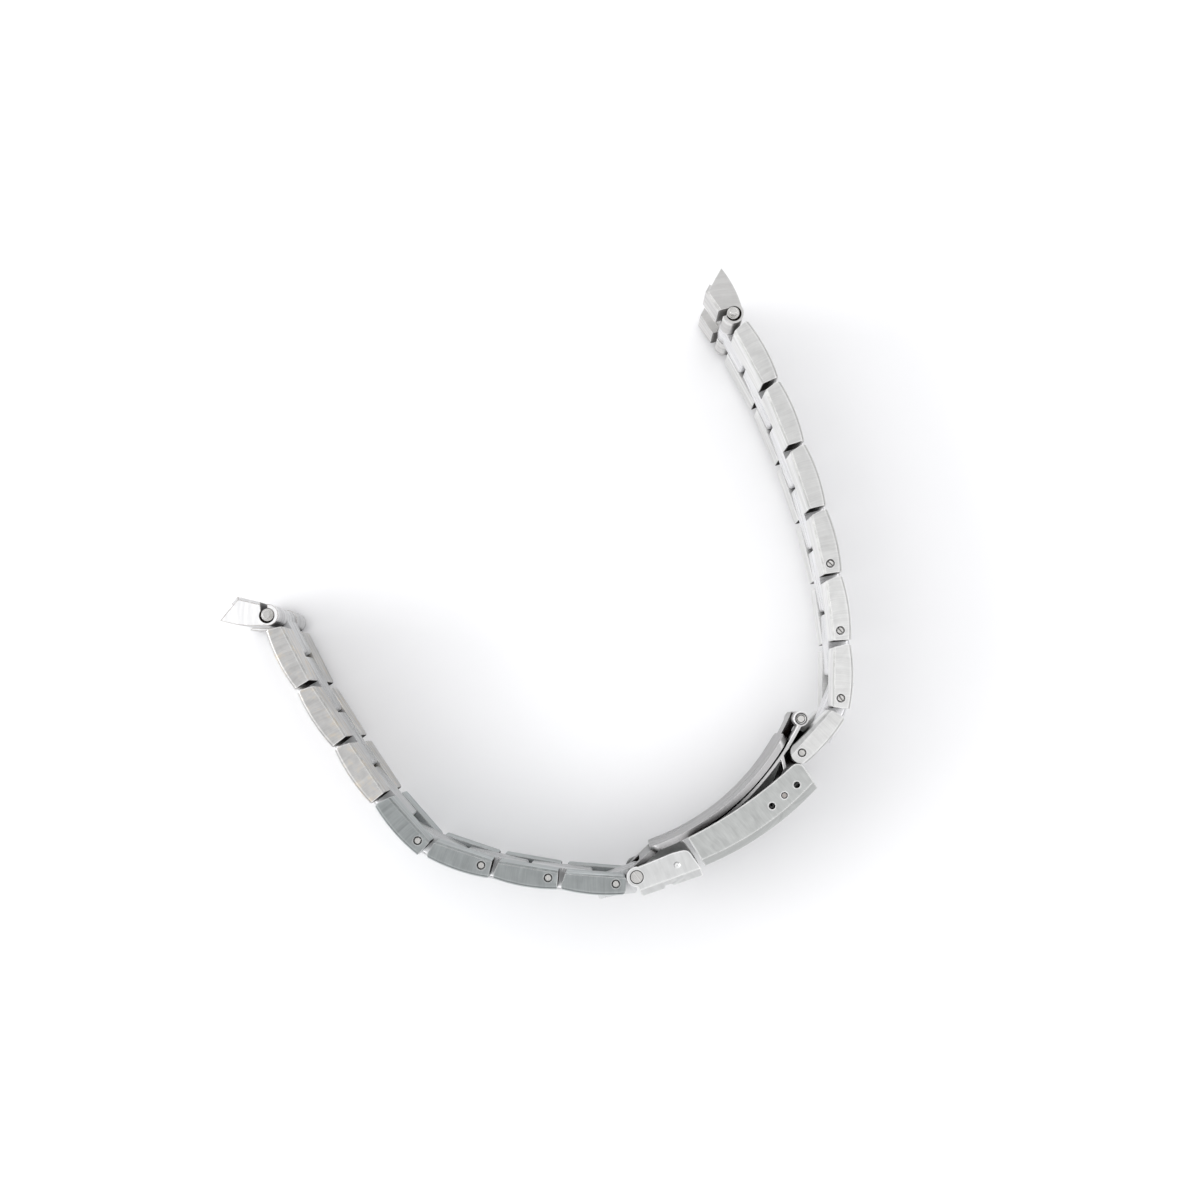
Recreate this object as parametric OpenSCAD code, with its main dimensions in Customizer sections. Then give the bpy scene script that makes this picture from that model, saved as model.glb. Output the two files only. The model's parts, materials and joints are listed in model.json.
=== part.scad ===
// Steel watch bracelet, standing on its edge, with a folding clasp.
// Every joint axis is upright. A strand runs from the clasp to the watch case.
// The twelve strand goes to the case's upper end and the six strand to its lower end.
// A link's own frame has x towards the case, y towards the wrist and z along its pins.

/* [Widths] */
// Gap between the lugs of the watch case that the bracelet fits
lug_width = 20; // [19:0.5:22]
// Width of the strands at the clasp
clasp_end_width = 16; // [15:0.5:17]
// Width of the centre row
centre_width = 6.6; // [6:0.2:7]
// Side play between neighbouring pieces on one pin
side_play = 0.06; // [0.04:0.01:0.1]

/* [Links] */
// Distance between the two pins of an outer plate
outer_span = 5.55; // [5.2:0.05:6]
// Distance between the two pins of a centre link
centre_span = 2.65; // [2.6:0.05:2.9]
// Gap between outer plates of neighbouring rows
plate_gap = 0.1; // [0.08:0.01:0.14]
// Gap between neighbouring centre links
centre_gap = 0.19; // [0.16:0.01:0.25]
// Height of an outer plate's crown over its pins
plate_out = 1.55; // [1.45:0.05:1.65]
// Depth of an outer plate below its pins, on the wrist side
plate_in = 1; // [0.9:0.05:1]
// Height of a centre link's crown over its pins
centre_out = 1.8; // [1.6:0.05:1.85]
// Depth of a centre link below its pins
centre_in = 0.95; // [0.85:0.05:0.95]
// Radius of the lengthwise crown of all links
crown_r = 22; // [18:1:30]
// Rounding between a plate's crown and its side
plate_edge = 0.45; // [0.2:0.05:0.6]
// Rounding between a centre link's crown and its sides
centre_edge = 0.5; // [0.2:0.05:0.6]
// Rounding of a plate's outer corner towards the case
plate_nose = 0.9; // [0.5:0.05:1]
// How far a plate's case end leans back on the wrist side
wrist_lean = 0.68; // [0.6:0.02:0.8]

/* [Pins] */
// Radius of a link pin
pin_r = 0.42; // [0.36:0.02:0.46]
// Play of a pin in its bore, all round
pin_play = 0.03; // [0.02:0.01:0.05]
// Depth of a pin's end below the plate's side
pin_sink = 0.12; // [0.06:0.02:0.2]
// Width of the countersunk ring round an open pin end
ring_width = 0.12; // [0.08:0.02:0.16]
// Depth of that ring
ring_depth = 0.3; // [0.2:0.02:0.4]
// Width of the screwdriver slot
slot_width = 0.16; // [0.12:0.02:0.2]
// Depth of the screwdriver slot
slot_depth = 0.2; // [0.12:0.02:0.26]
// Metal left over the end of a hidden pin
blind_cover = 1.2; // [0.8:0.1:1.6]

/* [End links and spring bars] */
// Radius of the round watch case
case_r = 20; // [18.5:0.5:22]
// Radius of a case spring bar's body
bar_r = 0.75; // [0.65:0.01:0.78]
// Play of a spring bar in its bore, all round
bar_play = 0.05; // [0.03:0.01:0.08]
// Radius of a case spring bar's tips
bar_tip_r = 0.5; // [0.4:0.05:0.55]
// How far each tip reaches out of the end link
bar_tip_reach = 0.85; // [0.7:0.05:1]
// Radius of the end link's ear round the bar
ear_r = 1.3; // [1.2:0.05:1.35]
// Radius of the end link's outer curve
end_curve_r = 15.6; // [14:0.2:18]
// How far the centre of the end link stands over its shoulders
end_step = 0.35; // [0.2:0.05:0.4]

/* [Clasp cover] */
// Width of the clasp cover
cover_width = 17.4; // [17.2:0.2:18.4]
// Sheet thickness of the cover and its lock
cover_wall = 0.9; // [0.8:0.05:1]
// Radius of the cover's long outer curve
cover_bow_r = 38; // [36:1:42]
// Distance from the middle adjusting hole to the cover's far edge
cover_reach = 13.1; // [12.9:0.1:13.3]
// Radius of the adjusting bar's tips
adjust_tip_r = 0.38; // [0.3:0.02:0.42]
// Play of those tips in the cover's holes
adjust_play = 0.02; // [0.01:0.01:0.03]
// Distance between neighbouring adjusting holes
adjust_step = 1.96; // [1.8:0.02:2.2]
// Distance from the adjusting bar to the last row's pin
connector_span = 5.57; // [5.5:0.05:6]
// Radius of the adjusting bar's body
adjust_r = 0.6; // [0.5:0.02:0.64]

/* [Blades and lock] */
// Thickness of the long blade
long_thick = 0.7; // [0.55:0.05:0.75]
// Thickness of the short blade
short_thick = 0.45; // [0.35:0.05:0.5]
// Half the width of the long blade
long_half = 7; // [6.4:0.1:7.1]
// Half the width of the short blade
short_half = 6.5; // [6:0.1:6.7]
// Radius of the pin between the blades
blade_pin_r = 0.46; // [0.4:0.02:0.5]
// Radius of the rolls round the pin between the blades
blade_roll_r = 0.92; // [0.85:0.01:0.95]
// Radius of the pin between short blade and cover
cover_pin_r = 0.45; // [0.38:0.01:0.48]
// Radius of the roll round that pin
cover_roll_r = 0.85; // [0.8:0.01:0.9]
// Width of the flip lock
lock_width = 17; // [16.8:0.1:17.4]
// Radius of the lock rivet's heads
rivet_head_r = 0.73; // [0.65:0.02:0.8]
// Radius of the lock rivet between its heads
rivet_r = 0.55; // [0.48:0.01:0.58]

/* [Hidden] */
$fn = 48;
arc_fn = 240;
over = 1;
// A corner's rounding stands this much proud, so that it crosses its sides cleanly
blend = 0.0005;

// How the pieces lie in the photograph
cover_heading = 40.25;
lock_heading = -20.25;
adjuster_at = [29.44, -25.66];
rivet_at = [-19.89, 4.02];
blade_hinge_at = [7.69, 5.54];
cover_hinge_at = [-11.2, 1.8];
// Inward bend at each pin from the clasp to the end link, in degrees
twelve_bends = [26.25, -18.7, 20.5, 20.5, 4.3, 4.3, 2.8, 2.8, 2.7, 2.7, 1.75, 1.75, 3.15, 3.15, 0, -14];
six_bends = [24.4, 23.4, 2.55, 2.55, 3.5, 5.5, 8.7, 21, 1.3, 6.1, 0.5, 0.5, 3.05, 3.05, 0, -70];

// Sizes that follow
rows = 7;
row_pitch = outer_span + centre_span;
strand_length = rows * row_pitch;
mid_z = lug_width / 2 + bar_tip_reach - 0.05;
end_half = lug_width / 2 - 0.05;
taper = atan((lug_width - clasp_end_width) / 2 / strand_length);
centre_half = centre_width / 2;
plate_from = centre_half + side_play;
plate_reach = (centre_span - plate_gap) / 2;
centre_reach = (outer_span - centre_gap) / 2;
bore_r = pin_r + pin_play;
bar_bore_r = bar_r + bar_play;
cover_half = cover_width / 2;
cover_in = cover_half - cover_wall;
lock_half = lock_width / 2;
lock_in = lock_half - cover_wall;
cover_bow_at = [-0.9, cover_bow_r - 2.2];

function unit(v) = v / norm(v);
function turned(p, angle) = [p.x * cos(angle) - p.y * sin(angle), p.x * sin(angle) + p.y * cos(angle)];
function direction(v) = atan2(v.y, v.x);
function sum_to(v, n) = n < 0 ? 0 : v[n] + sum_to(v, n - 1);
function from_cover(p) = adjuster_at + turned(p, cover_heading);

long_span = norm(blade_hinge_at - rivet_at);
short_span = norm(blade_hinge_at - cover_hinge_at);
long_heading = cover_heading + direction(blade_hinge_at - rivet_at);
short_heading = cover_heading + direction(blade_hinge_at - cover_hinge_at);

// Side is 1 on the twelve strand and -1 on the six strand. Pin 0 is the clasp's, pin 15 the case bar.
function bends(side) = side > 0 ? twelve_bends : six_bends;
function root_at(side) = side > 0 ? adjuster_at : from_cover(rivet_at);
function root_heading(side) = side > 0 ? cover_heading : long_heading + 180;
function heading(side, k) = root_heading(side) + side * sum_to(bends(side), k);
function span(side, k) = k == 0 ? (side > 0 ? connector_span : centre_span)
    : k % 2 == 1 ? outer_span : centre_span;
function pin_at(side, k) = k == 0 ? root_at(side)
    : pin_at(side, k - 1) + turned([span(side, k - 1), 0], heading(side, k - 1));
// Half the strand's width at a distance from the last row's clasp pin
function half_at(s) = (clasp_end_width + (lug_width - clasp_end_width) * s / strand_length) / 2;
function row_start(row) = (rows - row) * row_pitch;
// The centre of an arc of radius r from p to q that bows away from the wrist
function arc_at(p, q, r) = (p + q) / 2
    + sqrt(r * r - (q - p) * (q - p) / 4) * turned(unit(q - p), 90);

// Half the inside angle at corner i of an outline
function half_angle(p, i) = let (n = len(p))
    acos(unit(p[(i + n - 1) % n] - p[i]) * unit(p[(i + 1) % n] - p[i])) / 2;
function to_next(p, i, s) = let (n = len(p)) unit(p[(i + n + s) % n] - p[i]);

// Outline through the points p, anticlockwise, each outward corner rounded to its radius
module rounded(p, radii) {
    polygon([for (i = [0 : len(p) - 1]) for (s = radii[i] > 0 ? [-1, 1] : [0])
        s == 0 ? p[i] : p[i] + radii[i] / tan(half_angle(p, i)) * to_next(p, i, s)]);
    for (i = [0 : len(p) - 1]) {
        if (radii[i] > 0) {
            middle = unit(to_next(p, i, -1) + to_next(p, i, 1));
            translate(p[i] + radii[i] / sin(half_angle(p, i)) * middle) circle(radii[i] + blend);
        }
    }
}

// Extrudes an outline evenly to both sides of the middle plane
module slab(half) {
    translate([0, 0, -half]) linear_extrude(2 * half) children();
}

// Both halves of what lies over the middle plane
module both_sides() {
    children();
    mirror([0, 0, 1]) children();
}

// Round bar or bore along z, evenly to both sides
module round_bar(r, half) {
    translate([0, 0, -half]) cylinder(r = r, h = 2 * half);
}

// Round bar or bore along z over the middle plane
module round_from(r, low, high) {
    translate([0, 0, low]) cylinder(r = r, h = high - low);
}

// Puts link k of a strand in its place
module at_link(side, k) {
    p = pin_at(side, k);
    translate([p.x, p.y, mid_z]) rotate(heading(side, k)) {
        if (side > 0) {
            children();
        } else {
            mirror([0, 1, 0]) children();
        }
    }
}

// Puts a piece of the clasp in its place, given in the cover's frame
module at_clasp(p, angle) {
    w = from_cover(p);
    translate([w.x, w.y, mid_z]) rotate(angle) children();
}

// Disc whose rim is the crown of a link, its edges rounded
module crown_disc(mid_x, out, low, high, low_edge, high_edge) {
    translate([mid_x, crown_r - out, 0]) rotate_extrude($fn = arc_fn)
        rounded([[0, low], [crown_r, low], [crown_r, high], [0, high]], [0, low_edge, high_edge, 0]);
}

// Leans a plate's side with the taper of the strand
module tapered() {
    translate([outer_span / 2, 0, 0]) rotate([0, -taper, 0]) translate([-outer_span / 2, 0, 0])
        children();
}

// Cuts off the edge along x that lies between faces towards +y and +z
module edge_cut(chamfer, length) {
    rotate([45, 0, 0]) translate([-length / 2, -chamfer / sqrt(2), -length / 2]) cube(length);
}

wrist_chamfer = 0.25;
plate_corner = 0.25;
clasp_lean = 0.17;
// Corners of a plate from clasp wrist to clasp outer, case outer and case wrist
case_outer = [outer_span + plate_reach, -plate_out];
case_wrist = [outer_span + plate_reach - wrist_lean, plate_in];
plain_plate = [[clasp_lean - plate_reach, plate_in], [-plate_reach, -plate_out], case_outer, case_wrist];
plain_radii = [plate_corner, plate_corner, plate_nose, plate_corner];
six_last_plate = [[-plate_reach, plate_in], [-plate_reach, -plate_out], case_outer, case_wrist];
six_last_radii = [0.6, 1.1, plate_nose, plate_corner];
knuckle_r = 1.32;
knuckle_edge = 0.98 * knuckle_r;
twelve_last_plate = [[0, knuckle_edge], [0, -knuckle_edge], case_outer, case_wrist];
twelve_last_radii = [0, 0, plate_nose, plate_corner];

// Side outline of a row's plates; the last rows are rounded about their clasp-side pin
module plate_outline(side, row) {
    if (row < rows) {
        rounded(plain_plate, plain_radii);
    } else if (side < 0) {
        rounded(six_last_plate, six_last_radii);
    } else {
        rounded(twelve_last_plate, twelve_last_radii);
        circle(knuckle_r);
    }
}

// The plate of a row over the middle plane
module outer_plate(side, row) {
    top = half_at(row_start(row) + outer_span / 2);
    difference() {
        intersection() {
            translate([0, 0, plate_from]) linear_extrude(lug_width) plate_outline(side, row);
            tapered() crown_disc(outer_span / 2, plate_out, 0, top, 0, plate_edge);
        }
        tapered() translate([outer_span / 2, plate_in, top]) edge_cut(wrist_chamfer, 2 * row_pitch);
    }
}

// Rows whose clasp-side pin can be taken out have it open to the side
function is_open(side, row) = row >= 4;
function is_screw(side, row) = side > 0 && row >= 4 && row < rows;

// The two plates of a row
module outer_link(side, row) {
    near = half_at(row_start(row));
    far = half_at(row_start(row) + outer_span);
    both_sides() difference() {
        outer_plate(side, row);
        if (is_open(side, row)) {
            round_bar(bore_r, lug_width);
            round_from(pin_r + ring_width, near - ring_depth, near + over);
        } else {
            round_bar(bore_r, near - blind_cover);
        }
        translate([outer_span, 0, 0]) round_bar(bore_r, far - blind_cover);
    }
}

pin_chamfer = 0.08;
// A pin with a small chamfer at both ends
module pin(r, half) {
    rotate_extrude() polygon([[0, -half], [r - pin_chamfer, -half], [r, pin_chamfer - half],
        [r, half - pin_chamfer], [r - pin_chamfer, half], [0, half]]);
}

// The two pins of a row
module row_pins(side, row) {
    near = half_at(row_start(row));
    far = half_at(row_start(row) + outer_span);
    near_half = is_open(side, row) ? near - pin_sink : near - blind_cover - pin_play;
    difference() {
        pin(pin_r, near_half);
        if (is_screw(side, row)) {
            rotate(35) translate([-2 * pin_r, -slot_width / 2, near_half - slot_depth])
                cube([4 * pin_r, slot_width, slot_depth + over]);
        }
    }
    translate([outer_span, 0, 0]) pin(pin_r, far - blind_cover - pin_play);
}

centre_corner = 0.3;
wrist_short = 0.18;

// A centre link's body from its outline, with the pins' bores
module centre_body(out, bores) {
    difference() {
        intersection() {
            slab(centre_half + over) children();
            crown_disc(centre_span / 2, out, -centre_half, centre_half, centre_edge, centre_edge);
        }
        for (x = bores) {
            translate([x, 0, 0]) round_bar(bore_r, centre_half + over);
        }
    }
}

// A centre link between two rows of plates
module centre_link() {
    centre_body(centre_out, [0, centre_span]) rounded(
        [[wrist_short - centre_reach, centre_in], [-centre_reach, -centre_out],
            [centre_span + centre_reach, -centre_out],
            [centre_span + centre_reach - wrist_short, centre_in]],
        [centre_corner, centre_corner, centre_corner, centre_corner]);
}

case_barrel_r = 1.2;
neck_from = 0.75;
neck_out = 0.75;
// The centre link at the case: its barrel turns on the case spring bar between the ears
module case_centre_link() {
    difference() {
        centre_body(centre_out, [0]) {
            rounded([[wrist_short - centre_reach, centre_in], [-centre_reach, -centre_out],
                [neck_from, -centre_out], [neck_from, centre_in]],
                [centre_corner, centre_corner, centre_corner, 0]);
            translate([0, -neck_out]) square([centre_span, neck_out + centre_in]);
            translate([centre_span, 0]) circle(case_barrel_r);
        }
        translate([centre_span, 0, 0]) round_bar(bar_bore_r, centre_half + over);
    }
}

rivet_barrel_r = 1;
hook_out = 2.3;
// The last centre link of the six strand: its barrel turns on the lock's rivet
module clasp_centre_link() {
    difference() {
        slab(centre_half) {
            rounded([[0, centre_in], [0.6, -hook_out], [centre_span, -centre_out],
                [centre_span + centre_reach, 0.3 - centre_out],
                [centre_span + centre_reach - wrist_short, centre_in]],
                [0, 0.5, 0, centre_corner, centre_corner]);
            circle(rivet_barrel_r);
        }
        round_bar(rivet_r + bar_play, centre_half + over);
        translate([centre_span, 0, 0]) round_bar(bore_r, centre_half + over);
    }
}

connector_r = 1.05;
connector_out = 0.9;
// The connector between the adjusting bar and the last row of the twelve strand
module connector() {
    difference() {
        slab(centre_half) {
            rounded([[0, 0.8], [0, -0.7], [connector_span - 1.1, -connector_out],
                [connector_span - 0.6, -1.5], [connector_span + centre_reach, -1.45],
                [connector_span + centre_reach - wrist_short, centre_in]],
                [0, 0, 0, 0, centre_corner, centre_corner]);
            circle(connector_r);
        }
        round_bar(adjust_r + bar_play, centre_half + over);
        translate([connector_span, 0, 0]) round_bar(bore_r, centre_half + over);
    }
}

// The end link's side outline, from the bar to its sharp tip over the case
slant_top = [3.97, 1.75];
slant_foot = [7.44, -1.6];
ledge = [slant_top, [4.2, 1.87], [3.35, 2.63], [0.51, 1.57], [1.2, 0.75]];
curve_low = 1.19;
slot_from = 0.45;
slot_to = 0.75;
ledge_back = 0.6;

// The end link's outline, its outer curve raised by a step
module end_outline(raise) {
    intersection() {
        polygon([[0, -curve_low - 1], slant_foot + [1, -0.97], slant_top, [0.51, 1.57], [0, 1.3]]);
        translate([0.2, end_curve_r - curve_low]) circle(end_curve_r + raise, $fn = arc_fn);
    }
}

// Curved end link that seats on the round case
module end_link() {
    slant = direction(slant_foot - slant_top);
    case_axis = sqrt(case_r * case_r - lug_width * lug_width / 4);
    difference() {
        union() {
            difference() {
                union() {
                    slab(end_half) {
                        end_outline(0);
                        circle(ear_r);
                    }
                    intersection() {
                        slab(centre_half) end_outline(end_step);
                        translate([0.5, -5, -centre_half]) cube([10, 10, centre_width]);
                    }
                }
                translate(slant_top) rotate(slant) translate([0, case_axis, 0])
                    rotate([0, 90, 0]) translate([0, 0, -10])
                    cylinder(r = case_r, h = 20, $fn = arc_fn);
            }
            slab(end_half) polygon(ledge);
        }
        translate([3.5 - ledge_back + 0.35, 1.3, -centre_half])
            rotate(0) cube([3, 3, centre_width]);
        round_bar(bar_bore_r, lug_width);
        translate([slot_from, 0, -lug_width]) cube([slot_to - slot_from, 4, 2 * lug_width]);
        translate([-3, -3, -plate_from]) cube([3, 6, 2 * plate_from]);
        round_bar(case_barrel_r + 0.2, plate_from);
    }
}

// A spring bar: a tube with a sprung tip at both ends
module spring_bar(r, tip_r, half, tip_half) {
    rotate_extrude() polygon([[0, -tip_half], [tip_r - 0.1, -tip_half], [tip_r, 0.1 - tip_half],
        [tip_r, -half], [r, -half], [r, half], [tip_r, half], [tip_r, tip_half - 0.1],
        [tip_r - 0.1, tip_half], [0, tip_half]]);
}

module case_bar() {
    spring_bar(bar_r, bar_tip_r, end_half, end_half + bar_tip_reach);
}

// The clasp cover: a bowed channel with three adjusting holes on each side
module cover_shape() {
    edge = cover_wall;
    difference() {
        intersection() {
            slab(cover_half + over) rounded(
                [[1.1 - cover_reach, 4.6], [-cover_reach, -2.6], [3.62, -2.6], [4.15, 2.1], [0.8, 2.1],
                    [-2, 4.6]],
                [0, 0, 0, 1, 0, 0]);
            translate(cover_bow_at) rotate_extrude($fn = arc_fn) polygon([[0, -cover_half],
                [cover_bow_r - edge, -cover_half], [cover_bow_r, edge - cover_half],
                [cover_bow_r, cover_half - edge], [cover_bow_r - edge, cover_half], [0, cover_half]]);
        }
        translate([0.8, 56.05, 0]) rotate_extrude($fn = arc_fn)
            translate([0, -cover_half - over]) square([54, cover_width + 2 * over]);
        translate(cover_bow_at) rotate_extrude($fn = arc_fn)
            translate([0, -cover_in]) square([cover_bow_r - cover_wall, 2 * cover_in]);
        for (x = [-adjust_step, 0, adjust_step]) {
            translate([x, 0, 0]) round_bar(adjust_tip_r + adjust_play, cover_half + over);
        }
        translate(cover_hinge_at) round_bar(cover_pin_r + bar_play, cover_half - 0.35);
    }
}

module lock_shape() {
    edge = 0.95;
    difference() {
        slab(lock_half) {
            rounded([[0, 1.05], [-0.25, -1.1], [-0.2, -2.46], [7.6, -2.6], [7.6, -1.5],
                [6.9, 1.05], [5, 1.25]], [0, 0, 0.3, 0.1, 0.3, 1, 0]);
            circle(1.2);
        }
        slab(lock_half + over) polygon([[2.5, -3], [2.9, -2.2], [3.6, -2.2], [4.1, -3]]);
        translate([-3, -1.6, -lock_in]) cube([12, 5, 2 * lock_in]);
        translate([-3, -4, -plate_from]) cube([5.5, 5, 2 * plate_from]);
        both_sides() translate([3, -2.55, lock_half]) mirror([0, 1, 0]) edge_cut(edge, 14);
        round_bar(rivet_head_r + bar_play, lock_half + over);
        both_sides() translate([5.04, -0.28, lock_half + 0.56]) sphere(0.7);
    }
}

// A bowed sheet between two points of its middle line
module bowed_sheet(p, q, r, thick) {
    translate(arc_at(p, q, r)) difference() {
        circle(r + thick / 2, $fn = arc_fn);
        circle(r - thick / 2, $fn = arc_fn);
    }
}

// Keeps what lies over an outline seen from the wrist
module seen_from_wrist() {
    translate([0, 20, 0]) rotate([90, 0, 0]) linear_extrude(40) children();
}

long_neck = 6.2;
long_tongue = 2.75;
slot_half = 3.4;
module long_blade_shape() {
    difference() {
        union() {
            intersection() {
                slab(long_half) intersection() {
                    bowed_sheet([3.5, 1.02], [long_span, 0.81], 29.65, long_thick);
                    translate([3.5, -5]) square([long_span - 3.5, 10]);
                }
                seen_from_wrist() {
                    rounded([[3.5, -long_half], [long_span - 2.8, -long_half],
                        [long_span - 2.8, long_half], [3.5, long_half]], [1, 1.5, 1.5, 1]);
                    translate([3, -long_neck]) square([5, 2 * long_neck]);
                    translate([10, -long_tongue]) square([long_span, 2 * long_tongue]);
                }
            }
            slab(long_neck) {
                translate([0, 0.3]) square([3.9, long_thick]);
                circle(1);
            }
            translate([long_span, 0, 0]) round_bar(blade_roll_r, long_tongue);
        }
        translate([-2, -2, -slot_half]) cube([3.5, 5, 2 * slot_half]);
        round_bar(rivet_r + bar_play, long_half);
        translate([long_span, 0, 0]) round_bar(blade_pin_r + bar_play, long_half);
    }
}

short_bow_r = 35.775;
short_from = [0, 0.96];
short_to = [short_span, -0.22];
module short_blade_shape() {
    difference() {
        union() {
            slab(short_half) intersection() {
                bowed_sheet(short_from, short_to, short_bow_r, short_thick);
                translate([0, -5]) square([short_span, 10]);
            }
            round_bar(cover_roll_r, short_half);
            translate([short_span, 0, 0]) round_bar(blade_roll_r, short_half);
            both_sides() snap_tab();
        }
        translate([short_span - 1.65, -3, -long_tongue - 0.12])
            cube([4, 6, 2 * long_tongue + 0.24]);
        round_bar(cover_pin_r + bar_play, lug_width);
        translate([short_span, 0, 0]) round_bar(blade_pin_r + bar_play, lug_width);
    }
}

tab_at = 14;
tab_width = 1;
tab_reach = 1.3;
// Snap tab bent out of the short blade's edge
module snap_tab() {
    bow = arc_at(short_from, short_to, short_bow_r);
    root = bow.y - sqrt(short_bow_r * short_bow_r - (tab_at - bow.x) * (tab_at - bow.x));
    translate([0, 0, short_half - tab_width]) linear_extrude(tab_width)
        polygon([[tab_at, root], [tab_at - 1, root - tab_reach], [tab_at - 0.5, root - tab_reach],
            [tab_at + 0.6, root]]);
}

module rivet_shape() {
    pin(rivet_r, lock_half - 0.3);
    both_sides() round_from(rivet_head_r, lock_in + 0.04, lock_half - 0.1);
}

steel = "silver";
dark_steel = "gray";

// Link k of a strand is row 7 at k = 1, then every second k is a row of plates
function row_link(row) = 2 * (rows - row) + 1;

module outer(side, row) {
    color(steel) at_link(side, row_link(row)) outer_link(side, row);
}

module pins(side, row) {
    color(dark_steel) at_link(side, row_link(row)) row_pins(side, row);
}

module centre(side, row) {
    color(steel) at_link(side, row_link(row) + 1) {
        if (row > 1) {
            centre_link();
        } else {
            case_centre_link();
        }
    }
}

module end(side) {
    color(steel) at_link(side, 2 * rows + 1) end_link();
}

module end_bar(side) {
    color(dark_steel) at_link(side, 2 * rows + 1) case_bar();
}

module clasp_cover() {
    color(steel) at_clasp([0, 0], cover_heading) cover_shape();
}

module flip_lock() {
    color(steel) at_clasp(rivet_at, cover_heading + lock_heading) lock_shape();
}

module long_blade() {
    color(steel) at_clasp(rivet_at, long_heading) long_blade_shape();
}

module short_blade() {
    color(steel) at_clasp(cover_hinge_at, short_heading) short_blade_shape();
}

module lock_rivet() {
    color(dark_steel) at_clasp(rivet_at, cover_heading) rivet_shape();
}

module blade_pin() {
    color(dark_steel) at_clasp(blade_hinge_at, cover_heading) pin(blade_pin_r, short_half - 0.05);
}

module cover_pin() {
    color(dark_steel) at_clasp(cover_hinge_at, cover_heading) pin(cover_pin_r, cover_half - 0.4);
}

module adjusting_bar() {
    color(dark_steel) at_clasp([0, 0], cover_heading)
        spring_bar(adjust_r, adjust_tip_r, cover_in - 0.2, cover_half - 0.15);
}

module twelve_connector() {
    color(steel) at_link(1, 0) connector();
}

clasp_cover();
flip_lock();
long_blade();
short_blade();
lock_rivet();
blade_pin();
cover_pin();
adjusting_bar();
twelve_connector();
outer(1, 7);  // twelve_outer_7
outer(1, 6);  // twelve_outer_6
outer(1, 5);  // twelve_outer_5
outer(1, 4);  // twelve_outer_4
outer(1, 3);  // twelve_outer_3
outer(1, 2);  // twelve_outer_2
outer(1, 1);  // twelve_outer_1
pins(1, 7);  // twelve_pins_7
pins(1, 6);  // twelve_pins_6
pins(1, 5);  // twelve_pins_5
pins(1, 4);  // twelve_pins_4
pins(1, 3);  // twelve_pins_3
pins(1, 2);  // twelve_pins_2
pins(1, 1);  // twelve_pins_1
centre(1, 7);  // twelve_centre_7
centre(1, 6);  // twelve_centre_6
centre(1, 5);  // twelve_centre_5
centre(1, 4);  // twelve_centre_4
centre(1, 3);  // twelve_centre_3
centre(1, 2);  // twelve_centre_2
centre(1, 1);  // twelve_centre_1
end(1);  // twelve_end_link
end_bar(1);  // twelve_case_bar
union() {  // six_centre_8
    color(steel) at_link(-1, 0) clasp_centre_link();
}
outer(-1, 7);  // six_outer_7
outer(-1, 6);  // six_outer_6
outer(-1, 5);  // six_outer_5
outer(-1, 4);  // six_outer_4
outer(-1, 3);  // six_outer_3
outer(-1, 2);  // six_outer_2
outer(-1, 1);  // six_outer_1
pins(-1, 7);  // six_pins_7
pins(-1, 6);  // six_pins_6
pins(-1, 5);  // six_pins_5
pins(-1, 4);  // six_pins_4
pins(-1, 3);  // six_pins_3
pins(-1, 2);  // six_pins_2
pins(-1, 1);  // six_pins_1
centre(-1, 7);  // six_centre_7
centre(-1, 6);  // six_centre_6
centre(-1, 5);  // six_centre_5
centre(-1, 4);  // six_centre_4
centre(-1, 3);  // six_centre_3
centre(-1, 2);  // six_centre_2
centre(-1, 1);  // six_centre_1
end(-1);  // six_end_link
end_bar(-1);  // six_case_bar
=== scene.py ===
# %% [markdown]
# # A steel watch bracelet on its edge
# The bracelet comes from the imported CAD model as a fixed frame: every link, pin and blade is already
# in its place and rides on its own joint. This lesson mills the two curved end links, gives every
# piece its steel and its soft edges, and lays the bracelet on a white table in soft light. Blender's
# unit here is the metre, so a size that is written in millimetres is multiplied by MM.

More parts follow.
